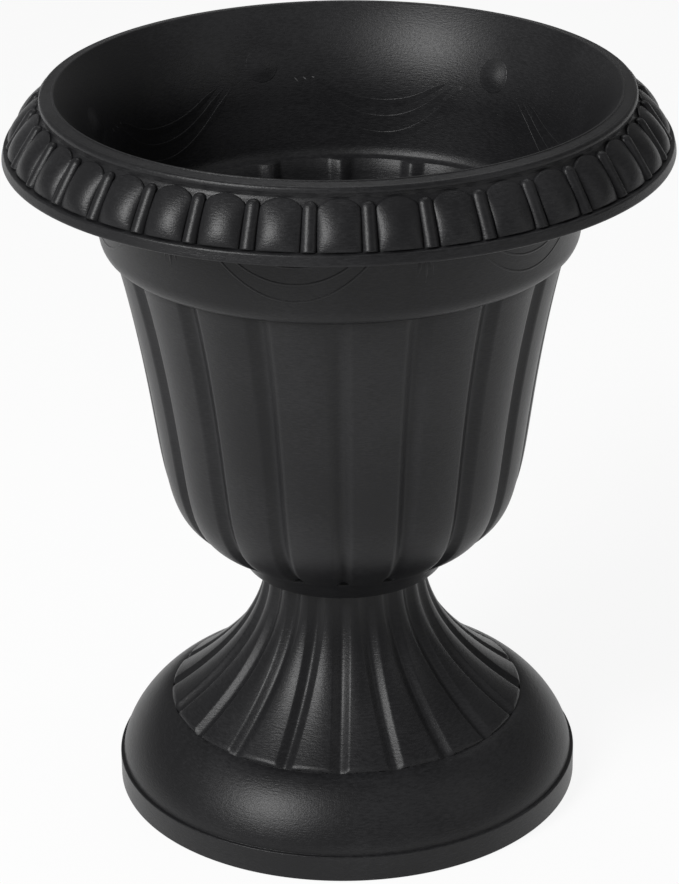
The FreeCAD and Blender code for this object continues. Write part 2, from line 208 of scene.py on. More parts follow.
class Finishes(bpy.types.PropertyGroup):
    plastic_dark: colour("Plastic", "Black plastic", (0.010, 0.010, 0.0108))
    plastic_light: colour("Plastic bloom", "Paler flow marks in the plastic",
                          (0.020, 0.020, 0.0213))
    plastic_roughness: number("Plastic roughness", "Least roughness of the plastic", 0.28)
    plastic_gloss: number("Plastic gloss", "Specular level of the plastic", 0.23)
    rubber: colour("Rubber", "Drain plug", (0.008, 0.008, 0.008))
    floor: colour("Floor", "Studio floor", (0.9, 0.9, 0.9))


class StageSizes(bpy.types.PropertyGroup):
    camera_back: length("Camera distance", "From the axis to the camera", 1219.95 * mm)
    camera_height: length("Camera height", "Height of the camera", 703.34 * mm)
    camera_pitch: turn("Camera pitch", "How far the camera looks down", 24.366)
    camera_roll: turn("Camera roll", "Tilt of the picture", -0.816)
    camera_yaw: turn("Camera yaw", "Sideways aim of the camera", 0.066)
    camera_lens: number("Lens", "Focal length in millimetres on a 36 mm long side", 132.56)
    floor_radius: length("Floor radius", "Radius of the floor", 30.0)
    floor_glow: number("Floor glow", "Share of plain white in the floor that is seen", 0.9)
    world_light: number("World light", "Strength of the even light all round", 0.2)


# Each lamp's place, size and power in watts, all aimed at one point of the axis.
LAMPS = {
    "key": ((-1.1, -1.02, 1.35), (0.7, 0.8), 36.0),
    "fill": ((1.3, -0.6, 0.9), (0.6, 1.0), 1.5),
    "top": ((0.1, 0.7, 1.5), (0.9, 0.6), 3.5),
}
LAMP_AIM = (0, 0, 0.18)

GROUPS = {
    "urn_pedestal": PedestalSizes,
    "urn_bowl": BowlSizes,
    "urn_rim": RimSizes,
    "urn_swags": SwagSizes,
    "urn_finishes": Finishes,
    "urn_stage": StageSizes,
}

# ---------------------------------------------------------------- outlines

# An outline is a list of rows (radius, height, relief). Relief 1 gives a row its flutes.


def plain(points):
    """Rows without flutes."""
    return [(radius, height, 0.0) for radius, height in points]


def fluted(points):
    """Rows with flutes."""
    return [(radius, height, 1.0) for radius, height in points]


def blend(start, end, share):
    return tuple(a + (b - a) * share for a, b in zip(start, end))


def rounded(corners, cells=4):
    """Points along straight runs, with each (radius, height, rounding) corner rounded."""
    most = 0.4  # of a run, so that two roundings never meet
    margin = 1.3  # keeps a straight cell beside each rounding
    points = [corners[0][:2]]
    for before, corner, after in zip(corners, corners[1:], corners[2:]):
        here = corner[:2]
        back = math.dist(here, before[:2])
        ahead = math.dist(here, after[:2])
        reach = min(corner[2], most * back, most * ahead)
        start = blend(here, before[:2], reach / back)
        end = blend(here, after[:2], reach / ahead)
        points.append(blend(here, before[:2], margin * reach / back))
        for cell in range(cells + 1):
            share = cell / cells
            points.append(blend(blend(start, here, share), blend(here, end, share), share))
        points.append(blend(here, after[:2], margin * reach / ahead))
    points.append(corners[-1][:2])
    return points


def bulged(start, end, bulge, cells=10):
    """Points of a shallow curve that stands out to the right of the way it runs."""
    span = math.dist(start, end)
    across = ((end[1] - start[1]) / span, (start[0] - end[0]) / span)
    points = []
    for cell in range(cells + 1):
        share = cell / cells
        out = 4 * share * (1 - share) * bulge
        base = blend(start, end, share)
        points.append((base[0] + out * across[0], base[1] + out * across[1]))
    return points


def offset(points, distance):
    """The points moved towards the axis, square to a rising outline."""
    moved = []
    for index, (radius, height) in enumerate(points):
        before = points[max(index - 1, 0)]
        after = points[min(index + 1, len(points) - 1)]
        span = math.dist(before, after)
        moved.append((radius - distance * (after[1] - before[1]) / span,
                      height + distance * (after[0] - before[0]) / span))
    return moved


def slope(points, index):
    """Angle of an outline from the upright at one of its points."""
    before = points[max(index - 1, 0)]
    after = points[min(index + 1, len(points) - 1)]
    return math.atan2(before[0] - after[0], after[1] - before[1])


def on_circle(radius, angle, height):
    return (radius * math.sin(angle), -radius * math.cos(angle), height)


def groove(share):
    """Depth of a flute across its width, 1 at the floor: straight flanks, narrow round floor."""
    floor = 0.3  # half the round floor's width, as a share of half the flute's
    deepest = math.hypot(1, floor) - floor
    return (math.hypot(1, floor) - math.hypot(share, floor)) / deepest


def fluted_ring(radius, height, flutes, first, half_angle, depth, crown, lean=0.0):
    """One turn of points: crowned panels with a flute between each two."""
    pitch = math.tau / flutes
    half_panel = pitch / 2 - half_angle
    points = []
    for index in range(flutes):
        middle = first + index * pitch
        for cell in range(FLUTE_CELLS + PANEL_CELLS):
            if cell < FLUTE_CELLS:
                share = 2 * cell / FLUTE_CELLS - 1
                angle = middle + share * half_angle
                inset = crown + depth * groove(share)
            else:
                share = 2 * (cell - FLUTE_CELLS) / PANEL_CELLS - 1
                angle = middle + pitch / 2 + share * half_panel
                inset = crown * share * share
            points.append(on_circle(radius - inset * math.cos(lean), angle,
                                    height - inset * math.sin(lean)))
    return points


# ---------------------------------------------------------------- meshes and pieces


def skinned(name, rings, closed):
    """A mesh over rings of points, the last joined to the first or both ends capped."""
    size = len(rings[0])
    vertices = [point for ring in rings for point in ring]
    faces = []
    for row in range(len(rings) if closed else len(rings) - 1):
        here = row * size
        above = (row + 1) % len(rings) * size
        for column in range(size):
            onward = (column + 1) % size
            faces.append((here + column, here + onward, above + onward, above + column))
    if not closed:
        faces.append(tuple(range(size)))
        faces.append(tuple(range(len(vertices) - size, len(vertices))))
    mesh = bpy.data.meshes.new(name)
    mesh.from_pydata(vertices, [], faces)
    return mesh


def joined(name, meshes):
    """One mesh of several closed ones, with every face turned outwards."""
    work = bmesh.new()
    for mesh in meshes:
        work.from_mesh(mesh)
        bpy.data.meshes.remove(mesh)
    bmesh.ops.recalc_face_normals(work, faces=work.faces)
    for face in work.faces:
        face.smooth = True
    mesh = bpy.data.meshes.new(name)
    work.to_mesh(mesh)
    work.free()
    return mesh


def add_piece(name, meshes, material, body):
    piece = bpy.data.objects.new(name, joined(name, meshes))
    bpy.context.scene.collection.objects.link(piece)
    piece.data.materials.append(material)
    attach(piece, body)
    return piece


# ---------------------------------------------------------------- pedestal


def stem_points(sizes, foot_z, rows=30):
    """The stem's flare from its foot up, with rows closest at the foot."""
    crowding = 1.25
    points = []
    for row in range(rows + 1):
        share = (row / rows) ** crowding
        radius = sizes.neck + (sizes.stem_foot - sizes.neck) * (1 - share) ** sizes.stem_flare
        points.append((radius, foot_z + share * sizes.stem_height))
    return points


def torus_points(sizes, rows=22):
    """The torus's flank from its widest place up to the stem's foot."""
    widest = pedestal_high.x - sizes.torus_setback
    widest_z = sizes.plinth_height + sizes.torus_foot
    top = sizes.stem_foot + sizes.stem_margin
    rise = sizes.torus_height - sizes.torus_foot
    points = []
    for row in range(rows + 1):
        angle = math.pi / 2 * row / rows
        across = math.cos(angle) ** (2 / sizes.torus_power)
        up = math.sin(angle) ** (2 / sizes.torus_power)
        points.append((top + (widest - top) * across, widest_z + rise * up))
    return points


def pedestal_rings(sizes):
    """The pedestal's closed outline, turned: outside upwards, then its lining downwards."""
    plinth = pedestal_high.x
    torus = torus_points(sizes)
    torus_edge = plinth - sizes.torus_setback
    step_foot_z = sizes.plinth_height + sizes.torus_height
    foot_z = step_foot_z + sizes.stem_step
    shoulder_z = foot_z + sizes.stem_height
    spigot_z = pedestal_high.z
    bore = sizes.spigot - sizes.wall
    stem = stem_points(sizes, foot_z)
    lining = offset(stem, sizes.wall)[:-1]
    torus_lining = offset(torus, sizes.wall)[:-2]
    half_foot = sizes.flute_width / sizes.stem_foot / 2
    half_neck = sizes.flute_share * math.pi / sizes.flutes

    def ring(radius, height, relief=0.0, lean=0.0):
        half = min(sizes.flute_width / radius / 2, half_neck) if relief else half_foot
        return fluted_ring(radius, height, sizes.flutes, sizes.flute_turn, half,
                           relief * sizes.flute_depth, relief * sizes.crown, lean)

    rings = []
    nook = 0.2 * mm
    outside = rounded([(plinth - sizes.wall, 0, 0), (plinth, 0, SOFT_EDGE),
                       (plinth, sizes.plinth_height, sizes.plinth_edge),
                       (torus_edge + nook, sizes.plinth_height, nook), torus[0]], 5)
    outside += torus[1:]
    outside.append((sizes.stem_foot, step_foot_z))
    rings += [ring(radius, height) for radius, height in outside]
    lean = slope(stem, 0)
    downward = math.pi / 2
    edge = sizes.ledge_edge
    dip = 1 / math.sin(lean)
    rings.append(ring(sizes.stem_foot, step_foot_z + CREASE))
    for inset, drop in ((0, 2), (0, 1), (0.06, 0.6), (0.3, 0.2)):
        rings.append(ring(sizes.stem_foot - inset * edge, foot_z - drop * edge, dip, downward))
    for along in (edge, 2 * edge):
        rings.append(ring(sizes.stem_foot - along * math.sin(lean),
                          foot_z + along * math.cos(lean), 1.0, lean))
    for index, (radius, height) in enumerate(stem[2:], start=2):
        rings.append(ring(radius, height, 1.0, slope(stem, index)))
    lead_in = 0.6 * mm
    inside = rounded([(sizes.neck - sizes.wall, shoulder_z, 0),
                      (sizes.spigot, shoulder_z, nook),
                      (sizes.spigot, spigot_z, lead_in), (bore, spigot_z, lead_in),
                      (bore, shoulder_z - sizes.wall, 0)])
    rings += [ring(radius, height) for radius, height in inside[1:]]
    for index in range(len(lining) - 1, 0, -1):
        radius, height = lining[index]
        if height < shoulder_z - sizes.wall:
            rings.append(ring(radius, height, 1.0, slope(lining, index)))
    rings += [ring(radius, height) for radius, height in reversed(torus_lining)]
    roof_z = sizes.plinth_height - sizes.wall
    inner_foot = rounded([torus_lining[0], (torus_edge - sizes.wall, roof_z, lead_in),
                          (plinth - sizes.wall, roof_z, lead_in), (plinth - sizes.wall, 0, 0)])
    rings += [ring(radius, height) for radius, height in inner_foot[1:-1]]
    return rings


# ---------------------------------------------------------------- bowl


def levels(bowl, rim):
    """The heights that the bowl's forms share."""
    body_foot = bowl_low.z + bowl.body_rise
    junction = body_foot + bowl.body_height
    cove_top = junction + bowl.cove_height
    crest = cove_top + bowl.flare_height
    lip_foot = crest - rim.rim_drop
    return {
        "body_foot": body_foot,
        "junction": junction,
        "cove_top": cove_top,
        "crest": crest,
        "lip_foot": lip_foot,
        "lip_top": lip_foot + rim.lip_height,
        "floor": pedestal_high.z,
    }


def body_points(bowl, foot_z, rows=46):
    """The panelled body's flank from its foot level up, with rows closest at the foot."""
    crowding = 1.7
    gather = bowl.waist - bowl.lobe_foot
    flare = bowl.body_top - bowl.waist - bowl.taper * bowl.body_height
    points = []
    for row in range(rows + 1):
        share = (row / rows) ** crowding
        above = share * bowl.body_height
        radius = (bowl.waist + bowl.taper * above + flare * share ** bowl.flare_power
                  - gather * math.exp(-(above / bowl.lobe_height) ** bowl.lobe_power))
        points.append((radius, foot_z + above))
    return points


def mouth_points(bowl, rim, level, inset, rows=16):
    """The cove's top and the flared mouth above it, so far inside the cove's face."""
    reach = rim.crest - bowl.cove + inset
    points = []
    for row in range(rows + 1):
        share = row / rows
        points.append((bowl.cove - inset + reach * share ** bowl.mouth_power,
                       level["cove_top"] + bowl.flare_height * share))
    return points


def cove_points(bowl, rim, level, wall):
    """Inner face and outer face of the cove and the mouth, both from below."""
    lining = [(bowl.cove_round_radius - wall, level["junction"] + bowl.cove_round)]
    lining += mouth_points(bowl, rim, level, wall)
    face = offset(lining, -wall)
    foot = (bowl.body_top + bowl.junction_step, level["junction"])
    foot_bulge = 0.6 * mm
    face = bulged(foot, face[0], foot_bulge, 6) + face[1:-2]
    return lining, face


def band_ends(rim, level):
    """Foot and top of the sloping band that carries the eggs."""
    lip_radius = bowl_high.x
    foot = (lip_radius - rim.lip_lean - rim.lip_ledge, level["lip_top"])
    top = (rim.crest + rim.roll_width - rim.groove_setback,
           level["crest"] - rim.roll_drop - rim.groove_drop)
    return foot, top


def foot_rows(bowl, level, wall, body):
    """Drain hole, socket, collar and panels, up to the cove."""
    low = bowl_low.z
    floor_z = level["floor"]
    junction = level["junction"]
    roof_gap = 0.3 * mm
    collar_roof = floor_z - roof_gap
    socket_out = bowl.socket + bowl.socket_wall
    collar_in = bowl.collar_foot - wall
    lobe_foot_z = level["body_foot"] + bowl.lobe_rise
    collar = bulged((bowl.collar_foot, low), (bowl.collar_top, lobe_foot_z - 0.05 * mm),
                    -bowl.collar_hollow, 8)
    rows = plain(rounded([
        (bowl.drain, floor_z, 0), (bowl.socket, floor_z, FINE_EDGE),
        (bowl.socket, low, SOFT_EDGE), (socket_out, low, SOFT_EDGE),
        (socket_out, collar_roof, SOFT_EDGE), (collar_in, collar_roof, SOFT_EDGE),
        (collar_in, low, 0.6 * mm), (bowl.collar_foot, low, 0.7 * mm), collar[2],
    ], 3)[:-1])
    rows += plain(collar[2:])
    rows += fluted([point for point in body[:-1] if point[1] > lobe_foot_z])
    return rows + fluted([(bowl.body_top, junction - bowl.panel_edge),
                          (bowl.body_top, junction)])


def rim_rows(bowl, rim, level, wall, face, lining):
    """The cove's outer face, the lip, the band, the roll and the bead on the inner edge."""
    band_foot, band_top = band_ends(rim, level)
    crest = level["crest"]
    lip_top = level["lip_top"]
    lip_out = bowl_high.x
    lip_in = lip_out - rim.lip_thickness
    roll_side = (rim.crest + rim.roll_width, crest - rim.roll_drop)
    roll_top = (rim.crest + rim.crest_flat, crest - rim.crest_drop)
    bead_side = rim.crest + rim.bead
    skirt_bend = 1.0 * mm
    hollow_bulge = 2.2 * mm
    skirt = [(radius - wall, height - wall / 2)
             for radius, height in (roll_side, band_top, band_foot)]

    rows = plain([(face[0][0] - bowl.panel_edge, face[0][1])] + face[1:])
    rows += plain(bulged(face[-1], skirt[0], -hollow_bulge, 8)[1:])
    rows += plain(rounded([
        skirt[0] + (0,), skirt[1] + (skirt_bend,), skirt[2] + (skirt_bend,),
        (lip_in, lip_top - wall, skirt_bend), (lip_in, level["lip_foot"], 0.8 * mm),
        (lip_out, level["lip_foot"], 1.2 * mm), (lip_out - rim.lip_lean, lip_top, 0.7 * mm),
        (band_foot[0], lip_top, 0.4 * mm), blend(band_foot, band_top, 0.12) + (0,),
    ])[1:-1])
    rows += plain(bulged(band_foot, band_top, rim.band_swell, 12)[2:])
    rows += plain(bulged(band_top, roll_side, -rim.groove_depth, 8)[1:])
    rows += plain(bulged(roll_side, roll_top, rim.roll_bulge, 10)[1:-1])
    return rows + plain(rounded([
        blend(roll_top, roll_side, 0.05) + (0,), roll_top + (0.1 * mm,),
        (bead_side + 0.1 * mm, crest - rim.bead_height, 0.1 * mm),
        (bead_side, crest, 0.15 * mm), (rim.crest, crest, FINE_EDGE), lining[-2],
    ], 3)[1:])


def inside_rows(bowl, level, wall, body, lining):
    """Down the inside: mouth, cove, ledge, panels and floor, to the drain hole."""
    floor_z = level["floor"]
    floor_top = floor_z + bowl.floor_thickness
    ledge_z = level["junction"] + bowl.ledge
    ledge_foot = (bowl.body_top + bowl.junction_step - bowl.ledge, ledge_z)
    ledge_bulge = 0.5 * mm
    margin = 0.5 * mm
    inner = offset(body, wall)
    rows = plain(lining[::-1][2:])
    rows += plain(bulged(lining[0], ledge_foot, -ledge_bulge, 5)[1:])
    rows += fluted([(inner[-1][0] + bowl.panel_edge, ledge_z),
                    (inner[-1][0], ledge_z - bowl.panel_edge)])
    rows += fluted([point for point in inner[::-1][1:] if point[1] > floor_top + margin])
    last = rows[-1][0]
    floor_cells = [(last - step * mm, floor_top) for step in (4.0, 5.0, 6.0)]
    rows += plain(floor_cells[:2])
    return rows + plain(rounded([floor_cells[2], (bowl.drain, floor_top, SOFT_EDGE),
                                 (bowl.drain, floor_z, 0)], 3)[1:-1])


def bowl_outline(bowl, rim, wall):
    """The bowl's closed outline: outside upwards, over the rim and down the inside."""
    level = levels(bowl, rim)
    body = body_points(bowl, level["body_foot"])
    lining, face = cove_points(bowl, rim, level, wall)
    return (foot_rows(bowl, level, wall, body)
            + rim_rows(bowl, rim, level, wall, face, lining)
            + inside_rows(bowl, level, wall, body, lining))


def band_place(rim, level, up, angle, outward):
    """A point on the band behind the eggs, so far up its slope and out from it."""
    foot, top = band_ends(rim, level)
    span = math.dist(foot, top)
    normal = ((top[1] - foot[1]) / span, (foot[0] - top[0]) / span)
    base = blend(foot, top, up)
    seat = 0.25  # of the band's swell that the lobes follow
    out = outward + max(4 * up * (1 - up), 0.0) * rim.band_swell * seat
    return on_circle(base[0] + out * normal[0], angle, base[1] + out * normal[1])


def lobe_outline(shoulders, arch, top, corners, cells=9):
    """(across, up) points round an egg or a dart: foot, flank, arched end, other flank.

    With corners 1 the arch is half an ellipse; a greater number gives it shoulders.
    """
    sink = -0.05
    shoulder = top - arch
    flank = [blend((1, sink), (shoulders, shoulder), cell / cells) for cell in range(cells)]
    points = list(flank)
    for cell in range(2 * cells + 1):
        angle = math.pi * cell / (2 * cells)
        points.append((shoulders * math.cos(angle),
                       shoulder + arch * max(math.sin(angle), 0.0) ** corners))
    points += [(-across, up) for across, up in reversed(flank)]
    points += [(2 * cell / cells - 1, sink) for cell in range(1, cells)]
    return points


def egg_dome(rim, across, up):
    """How far an egg stands out: fullest low down, with round flanks."""
    reach_up = 0.85
    reach_down = 0.42
    flank = 0.94
    above = up - rim.egg_belly
    if above > 0:
        full = 1 - (above / reach_up) ** 2
    else:
        full = math.sqrt(1 - (above / reach_down) ** 2)
    return rim.egg_relief * full * math.sqrt(1 - (flank * across) ** 2)


def dart_dome(rim, across, up, arch):
    """How far a dart stands out: a round rod with a ball end."""
    flank = 0.98
    beyond = max(0.0, (up - rim.dart_height + arch) / arch)
    return rim.dart_relief * math.sqrt(max(1 - flank * (across ** 2 + beyond ** 2), 0.0))


def lobe(rim, level, middle, half_width, outline, dome):
    """A domed solid on the band behind the eggs, with a crisp edge round its outline."""
    foot, top = band_ends(rim, level)
    centre = (0.0, 0.45)
    edge = rim.lobe_edge
    sink = -0.8 * mm
    rings = []
    # Each loop's size against the outline, and its drop below the dome. None sinks it.
    loops = [(1.0, None), (1.0, edge), (0.975, 0.15 * edge)]
    loops += [(share, 0.0) for share in (0.95, 0.88, 0.79, 0.68, 0.55, 0.4, 0.24, 0.08)]
    for share, drop in loops:
        ring = []
        for point in outline:
            across, up = blend(centre, point, share)
            out = sink if drop is None else dome(across, up) - drop
            angle = middle + across * half_width / blend(foot, top, up)[0]
            ring.append(band_place(rim, level, up, angle, out))
        rings.append(ring)
    return skinned("lobe", rings, False)


# ---------------------------------------------------------------- swags, tassels and bosses


class CoveFace:
    """Radius of the cove's outer or inner face at any height."""

    def __init__(self, points):
        self.points = sorted(points, key=lambda point: point[1])

    def radius(self, height):
        for low, high in zip(self.points, self.points[1:]):
            if height <= high[1]:
                share = (height - low[1]) / max(high[1] - low[1], 1e-9)
                return low[0] + (high[0] - low[0]) * share
        return self.points[-1][0]


def raised_line(cove, path, widths, relief, side):
    """A low round ridge along (angle, height) points on one face of the cove's wall."""
    sink = 0.3 * mm
    seat = 0.006 * mm
    cells = 6
    rings = []
    for index, (angle, height) in enumerate(path):
        before = path[max(index - 1, 0)]
        after = path[min(index + 1, len(path) - 1)]
        radius = cove.radius(height)
        fade = min(1.0, widths[index] / max(widths))
        along = Vector(((after[0] - before[0]) * radius, after[1] - before[1])).normalized()
        across = Vector((-along.y, along.x))
        ring = []
        for cell in range(cells + 1):
            turned = math.pi * cell / cells
            ring.append((across * (math.cos(turned) * widths[index] / 2),
                         math.sin(turned) ** 2 * relief * fade - seat))
        ring += [(across * (-widths[index] / 2), -sink), (across * (widths[index] / 2), -sink)]
        rings.append([on_circle(radius + side * out, angle + step.x / radius, height + step.y)
                      for step, out in ring])
    return skinned("raised_line", rings, False)


def swag_lines(cove, swags, middle, width, relief, side):
    """The three hanging folds of one swag, each fading out at its ends."""
    meshes = []
    cells = 40
    hang = 2.1
    for fold in range(3):
        lowest = swags.lowest + fold * swags.fold_rise
        half = swags.half_span * (1 - 0.1 * fold)
        path = []
        widths = []
        for cell in range(cells + 1):
            share = 2 * cell / cells - 1
            height = lowest + (swags.top - lowest) * abs(share) ** hang
            path.append((middle + share * half, height))
            widths.append(width * min(1.0, 0.1 + 5 * (1 - abs(share))))
        meshes.append(raised_line(cove, path, widths, relief, side))
    return meshes


def tassel_lines(cove, swags, middle, relief, side):
    """The three strokes that hang where two swags meet."""
    meshes = []
    cells = 10
    stroke_width = 1.7 * mm
    for stroke in (-1, 0, 1):
        drop = swags.tassel_length * (1 - 0.25 * abs(stroke))
        path = []
        widths = []
        for cell in range(cells + 1):
            share = cell / cells
            spread = stroke * (1.4 * mm + 1.8 * mm * share) / cove.radius(swags.tassel_top)
            path.append((middle + spread, swags.tassel_top - share * drop))
            widths.append(stroke_width * max(math.sin(math.pi * min(share + 0.06, 1.0)), 0.12))
        meshes.append(raised_line(cove, path, widths, relief, side))
    return meshes


def boss(cove, swags, middle):
    """A low round dome on the inside of the mouth."""
    rings = []
    sink = 0.6 * mm
    tip = 0.02 * mm
    steps = 9
    cells = 36
    for step in range(steps + 2):
        if step == 0:
            reach, out = swags.boss, -sink
        else:
            share = 1 - (step - 1) / steps
            reach = swags.boss * share
            out = swags.boss_relief * (1 - share ** 2) ** 2 - tip
        ring = []
        for cell in range(cells):
            around = math.tau * cell / cells
            height = swags.boss_height + max(reach, tip) * math.sin(around)
            radius = cove.radius(height)
            angle = middle + max(reach, tip) * math.cos(around) / radius
            ring.append(on_circle(radius - out, angle, height))
        rings.append(ring)
    return skinned("boss", rings, False)


# ---------------------------------------------------------------- drain plug


def plug_rings(bowl):
    """The plug turned: shank in the drain hole, head on the floor, grip on top."""
    clearance = 0.1 * mm
    core = 0.4 * mm
    grip = 4.0 * mm
    soft = 1.0 * mm
    cells = 64
    shank = bowl.drain - clearance
    head = plug_high.x
    floor_top = pedestal_high.z + bowl.floor_thickness
    head_top = floor_top + 2.2 * mm
    points = rounded([
        (core, plug_low.z, 0), (shank, plug_low.z, soft), (shank, floor_top, clearance),
        (head, floor_top + 0.02 * mm, soft), (head, head_top, soft),
        (grip, head_top, 0.8 * mm), (grip, plug_high.z, 1.5 * mm), (core, plug_high.z, 0),
    ], 5)
    return [[on_circle(radius, math.tau * cell / cells, height) for cell in range(cells)]
            for radius, height in points]


# ---------------------------------------------------------------- materials


class Wire:
    """A node's output that can be reckoned with: each sum adds its own Math node."""

    def __init__(self, bench, socket):
        self.bench = bench
        self.socket = socket

    def reckon(self, operation, *terms):
        return self.bench.node("ShaderNodeMath", {"operation": operation}, dict(enumerate(terms)))

    def __add__(self, other):
        return self.reckon("ADD", self, other)

    def __mul__(self, other):
        return self.reckon("MULTIPLY", self, other)

    __radd__ = __add__


class Bench:
    """The node tree of one material or world."""

    def __init__(self, owner):
        owner.use_nodes = True
        self.tree = owner.node_tree
        self.tree.nodes.clear()

    def node(self, kind, settings=None, inputs=None, output=0):
        made = self.tree.nodes.new(kind)
        for name, value in (settings or {}).items():
            setattr(made, name, value)
        for name, value in (inputs or {}).items():
            if isinstance(value, Wire):
                self.tree.links.new(value.socket, made.inputs[name])
            else:
                made.inputs[name].default_value = value
        return Wire(self, made.outputs[output]) if made.outputs else None

    def noise(self, vector, scale, detail, roughness=0.5):
        return self.node("ShaderNodeTexNoise", {"noise_dimensions": "3D"},
                         {"Vector": vector, "Scale": scale, "Detail": detail,
                          "Roughness": roughness}, "Fac")

    def stretched(self, vector, factors):
        return self.node("ShaderNodeVectorMath", {"operation": "MULTIPLY"},
                         {0: vector, 1: factors})

    def ramp(self, value, low, high):
        """0 below low, 1 above high, and a soft step between them."""
        return self.node("ShaderNodeMapRange", {"interpolation_type": "SMOOTHSTEP"},
                         {"Value": value, "From Min": low, "From Max": high})

    def colours(self, share, first, second):
        return self.node("ShaderNodeMix", {"data_type": "RGBA"},
                         {0: share, 6: (*first, 1), 7: (*second, 1)}, 2)


def plastic_material(finishes):
    """Satin black plastic with the flow marks and fine grain of a moulding."""
    material = bpy.data.materials.new(PLASTIC_NAME)
    bench = Bench(material)
    place = bench.node("ShaderNodeTexCoord", output="Object")
    hatch_scale = 420
    grain_scale = 1500
    cloud_scale = 16
    hatch = bench.noise(bench.stretched(place, (1, 1, 5)), hatch_scale, 3, 0.6)
    grain = bench.noise(bench.stretched(place, (1, 1, 1.6)), grain_scale, 2)
    clouds = bench.noise(place, cloud_scale, 3)
    marks = bench.ramp(hatch * 0.45 + clouds * 0.55, 0.42, 0.66)
    bump = bench.node("ShaderNodeBump", inputs={
        "Strength": 0.6, "Distance": 0.28 * mm, "Height": hatch * 0.6 + grain * 0.4})
    shader = bench.node("ShaderNodeBsdfPrincipled", inputs={
        "Base Color": bench.colours(marks, finishes.plastic_dark, finishes.plastic_light),
        "Roughness": finishes.plastic_roughness + hatch * 0.1 + clouds * 0.08,
        "Specular IOR Level": finishes.plastic_gloss,
        "Normal": bump,
    })
    bench.node("ShaderNodeOutputMaterial", inputs={"Surface": shader})
    return material


def rubber_material(finishes):
    """Matt black rubber with a faint bloom."""
    material = bpy.data.materials.new("plug_black_rubber")
    bench = Bench(material)
    place = bench.node("ShaderNodeTexCoord", output="Object")
    bloom_scale = 420
    bloom = bench.noise(place, bloom_scale, 3)
    shader = bench.node("ShaderNodeBsdfPrincipled", inputs={
        "Base Color": bench.colours(bench.ramp(bloom, 0.35, 0.75), finishes.rubber,
                                    [3 * part for part in finishes.rubber]),
        "Roughness": 0.62 + bloom * 0.2,
        "Normal": bench.node("ShaderNodeBump", inputs={
            "Strength": 0.3, "Distance": 0.1 * mm, "Height": bloom}),
    })
    bench.node("ShaderNodeOutputMaterial", inputs={"Surface": shader})
    return material


def seen_directly(bench):
    """1 for rays from the camera or by way of a mirror or glass, else 0."""
    path = [bench.node("ShaderNodeLightPath", output=name)
            for name in ("Is Camera Ray", "Is Glossy Ray", "Is Transmission Ray")]
    return path[0] + path[1] + path[2]


def floor_material(finishes, stage):
    """White paper that shows white to the camera and still keeps a soft shadow."""
    material = bpy.data.materials.new("studio_floor")
    bench = Bench(material)
    place = bench.node("ShaderNodeTexCoord", output="Object")
    tooth_scale = 90
    tooth = bench.noise(place, tooth_scale, 3)
    paper = bench.node("ShaderNodeBsdfPrincipled", inputs={
        "Base Color": (*finishes.floor, 1),
        "Roughness": 0.8 + tooth * 0.1,
        "Specular IOR Level": 0.0,
    })
    white = bench.node("ShaderNodeEmission", inputs={"Color": (1, 1, 1, 1), "Strength": 1.0})
    shader = bench.node("ShaderNodeMixShader",
                        inputs={0: seen_directly(bench) * stage.floor_glow, 1: paper,
                                2: white})
    bench.node("ShaderNodeOutputMaterial", inputs={"Surface": shader})
    return material


# ---------------------------------------------------------------- operators


def plastic(finishes):
    """The one plastic that all moulded pieces share."""
    return bpy.data.materials.get(PLASTIC_NAME) or plastic_material(finishes)


class URN_OT_pedestal(bpy.types.Operator):
    """Build the pedestal: plinth, torus, fluted stem and spigot"""

    bl_idname = "urn.make_pedestal"
    bl_label = "Pedestal"

    def execute(self, context):
        scene = context.scene
        shell = skinned("pedestal_shell", pedestal_rings(scene.urn_pedestal), True)
        piece = add_piece("pedestal_moulding", [shell], plastic(scene.urn_finishes), BODY_BASE)
        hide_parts("pedestal")
        return {"FINISHED"}


class URN_OT_bowl(bpy.types.Operator):
    """Build the bowl: collar, panels, cove, mouth and rolled rim"""

    bl_idname = "urn.make_bowl"
    bl_label = "Bowl"

    def execute(self, context):
        scene = context.scene
        bowl = scene.urn_bowl
        outline = bowl_outline(bowl, scene.urn_rim, scene.urn_pedestal.wall)
        rings = [fluted_ring(radius, height, bowl.panels, bowl.flute_turn, bowl.flute_angle / 2,
                             relief * bowl.flute_depth, relief * bowl.crown)
                 for radius, height, relief in outline]
        piece = add_piece("bowl_moulding", [skinned("bowl_shell", rings, True)],
                          plastic(scene.urn_finishes), BODY_URN)
        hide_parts("bowl")
        return {"FINISHED"}


class URN_OT_eggs_and_darts(bpy.types.Operator):
    """Build the eggs and darts around the rim"""

    bl_idname = "urn.make_eggs_and_darts"
    bl_label = "Eggs and darts"

    def execute(self, context):
        rim = context.scene.urn_rim
        material = plastic(context.scene.urn_finishes)
        level = levels(context.scene.urn_bowl, rim)
        foot, top = band_ends(rim, level)
        pitch = math.tau / rim.eggs
        dart_arch = rim.dart_width / 2 / math.dist(foot, top)
        egg_outline = lobe_outline(rim.egg_narrowing, rim.egg_arch, 1.0, 1.5)
        dart_outline = lobe_outline(rim.dart_narrowing, dart_arch, rim.dart_height, 1.0)
        eggs = []
        darts = []
        for index in range(rim.eggs):
            middle = rim.egg_turn + index * pitch
            eggs.append(lobe(rim, level, middle, rim.egg_width / 2, egg_outline,
                             lambda across, up: egg_dome(rim, across, up)))
            darts.append(lobe(rim, level, middle + pitch / 2, rim.dart_width / 2,
                              dart_outline,
                              lambda across, up: dart_dome(rim, across, up, dart_arch)))
        add_piece("rim_eggs", eggs, material, BODY_URN)
        add_piece("rim_darts", darts, material, BODY_URN)
        return {"FINISHED"}


